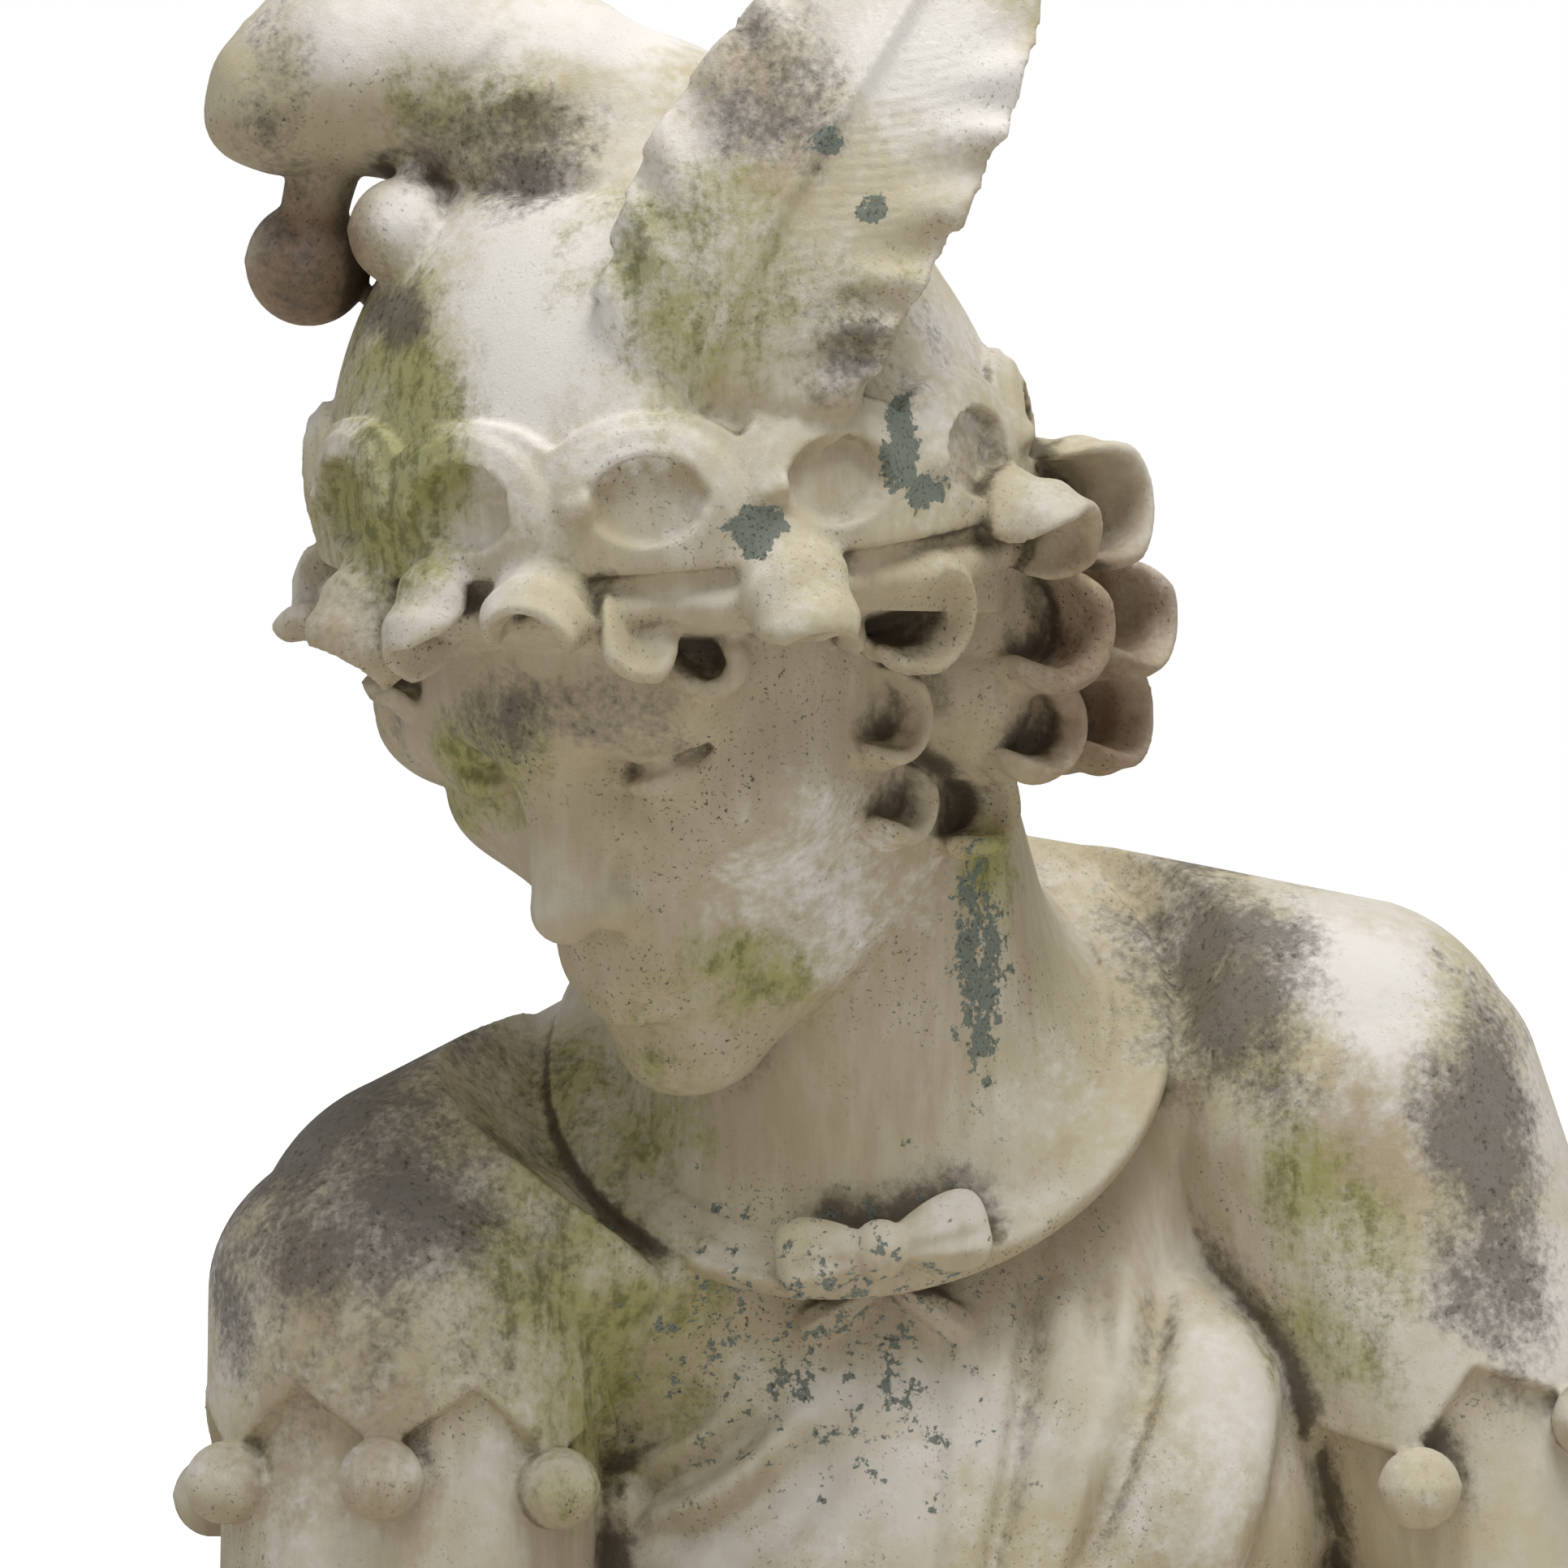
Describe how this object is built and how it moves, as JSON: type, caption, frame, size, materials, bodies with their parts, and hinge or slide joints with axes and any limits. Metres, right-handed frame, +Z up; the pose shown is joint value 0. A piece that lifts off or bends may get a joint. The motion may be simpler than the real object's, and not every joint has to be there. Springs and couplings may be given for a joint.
{
  "type": "marble jester bust",
  "caption": "Life-size carved marble bust with bowed head, belled cap, feather, scalloped crown, curled locks, collar with bow, pleated shirt and dagged sleeves, cut flat below.",
  "frame": {"origin": "middle of the bust's outer box, on its flat underside", "axes": "+X is the figure's left, -Y is the side the chest faces, +Z is up"},
  "size_m": [0.461, 0.3572, 0.511],
  "materials": {
    "marble": "weathered white marble, matt, with black and grey grime, yellow-green algae and grey-green lichen"
  },
  "bodies": {
    "root": {"marble_bust": "marble"}
  },
  "joints": []
}
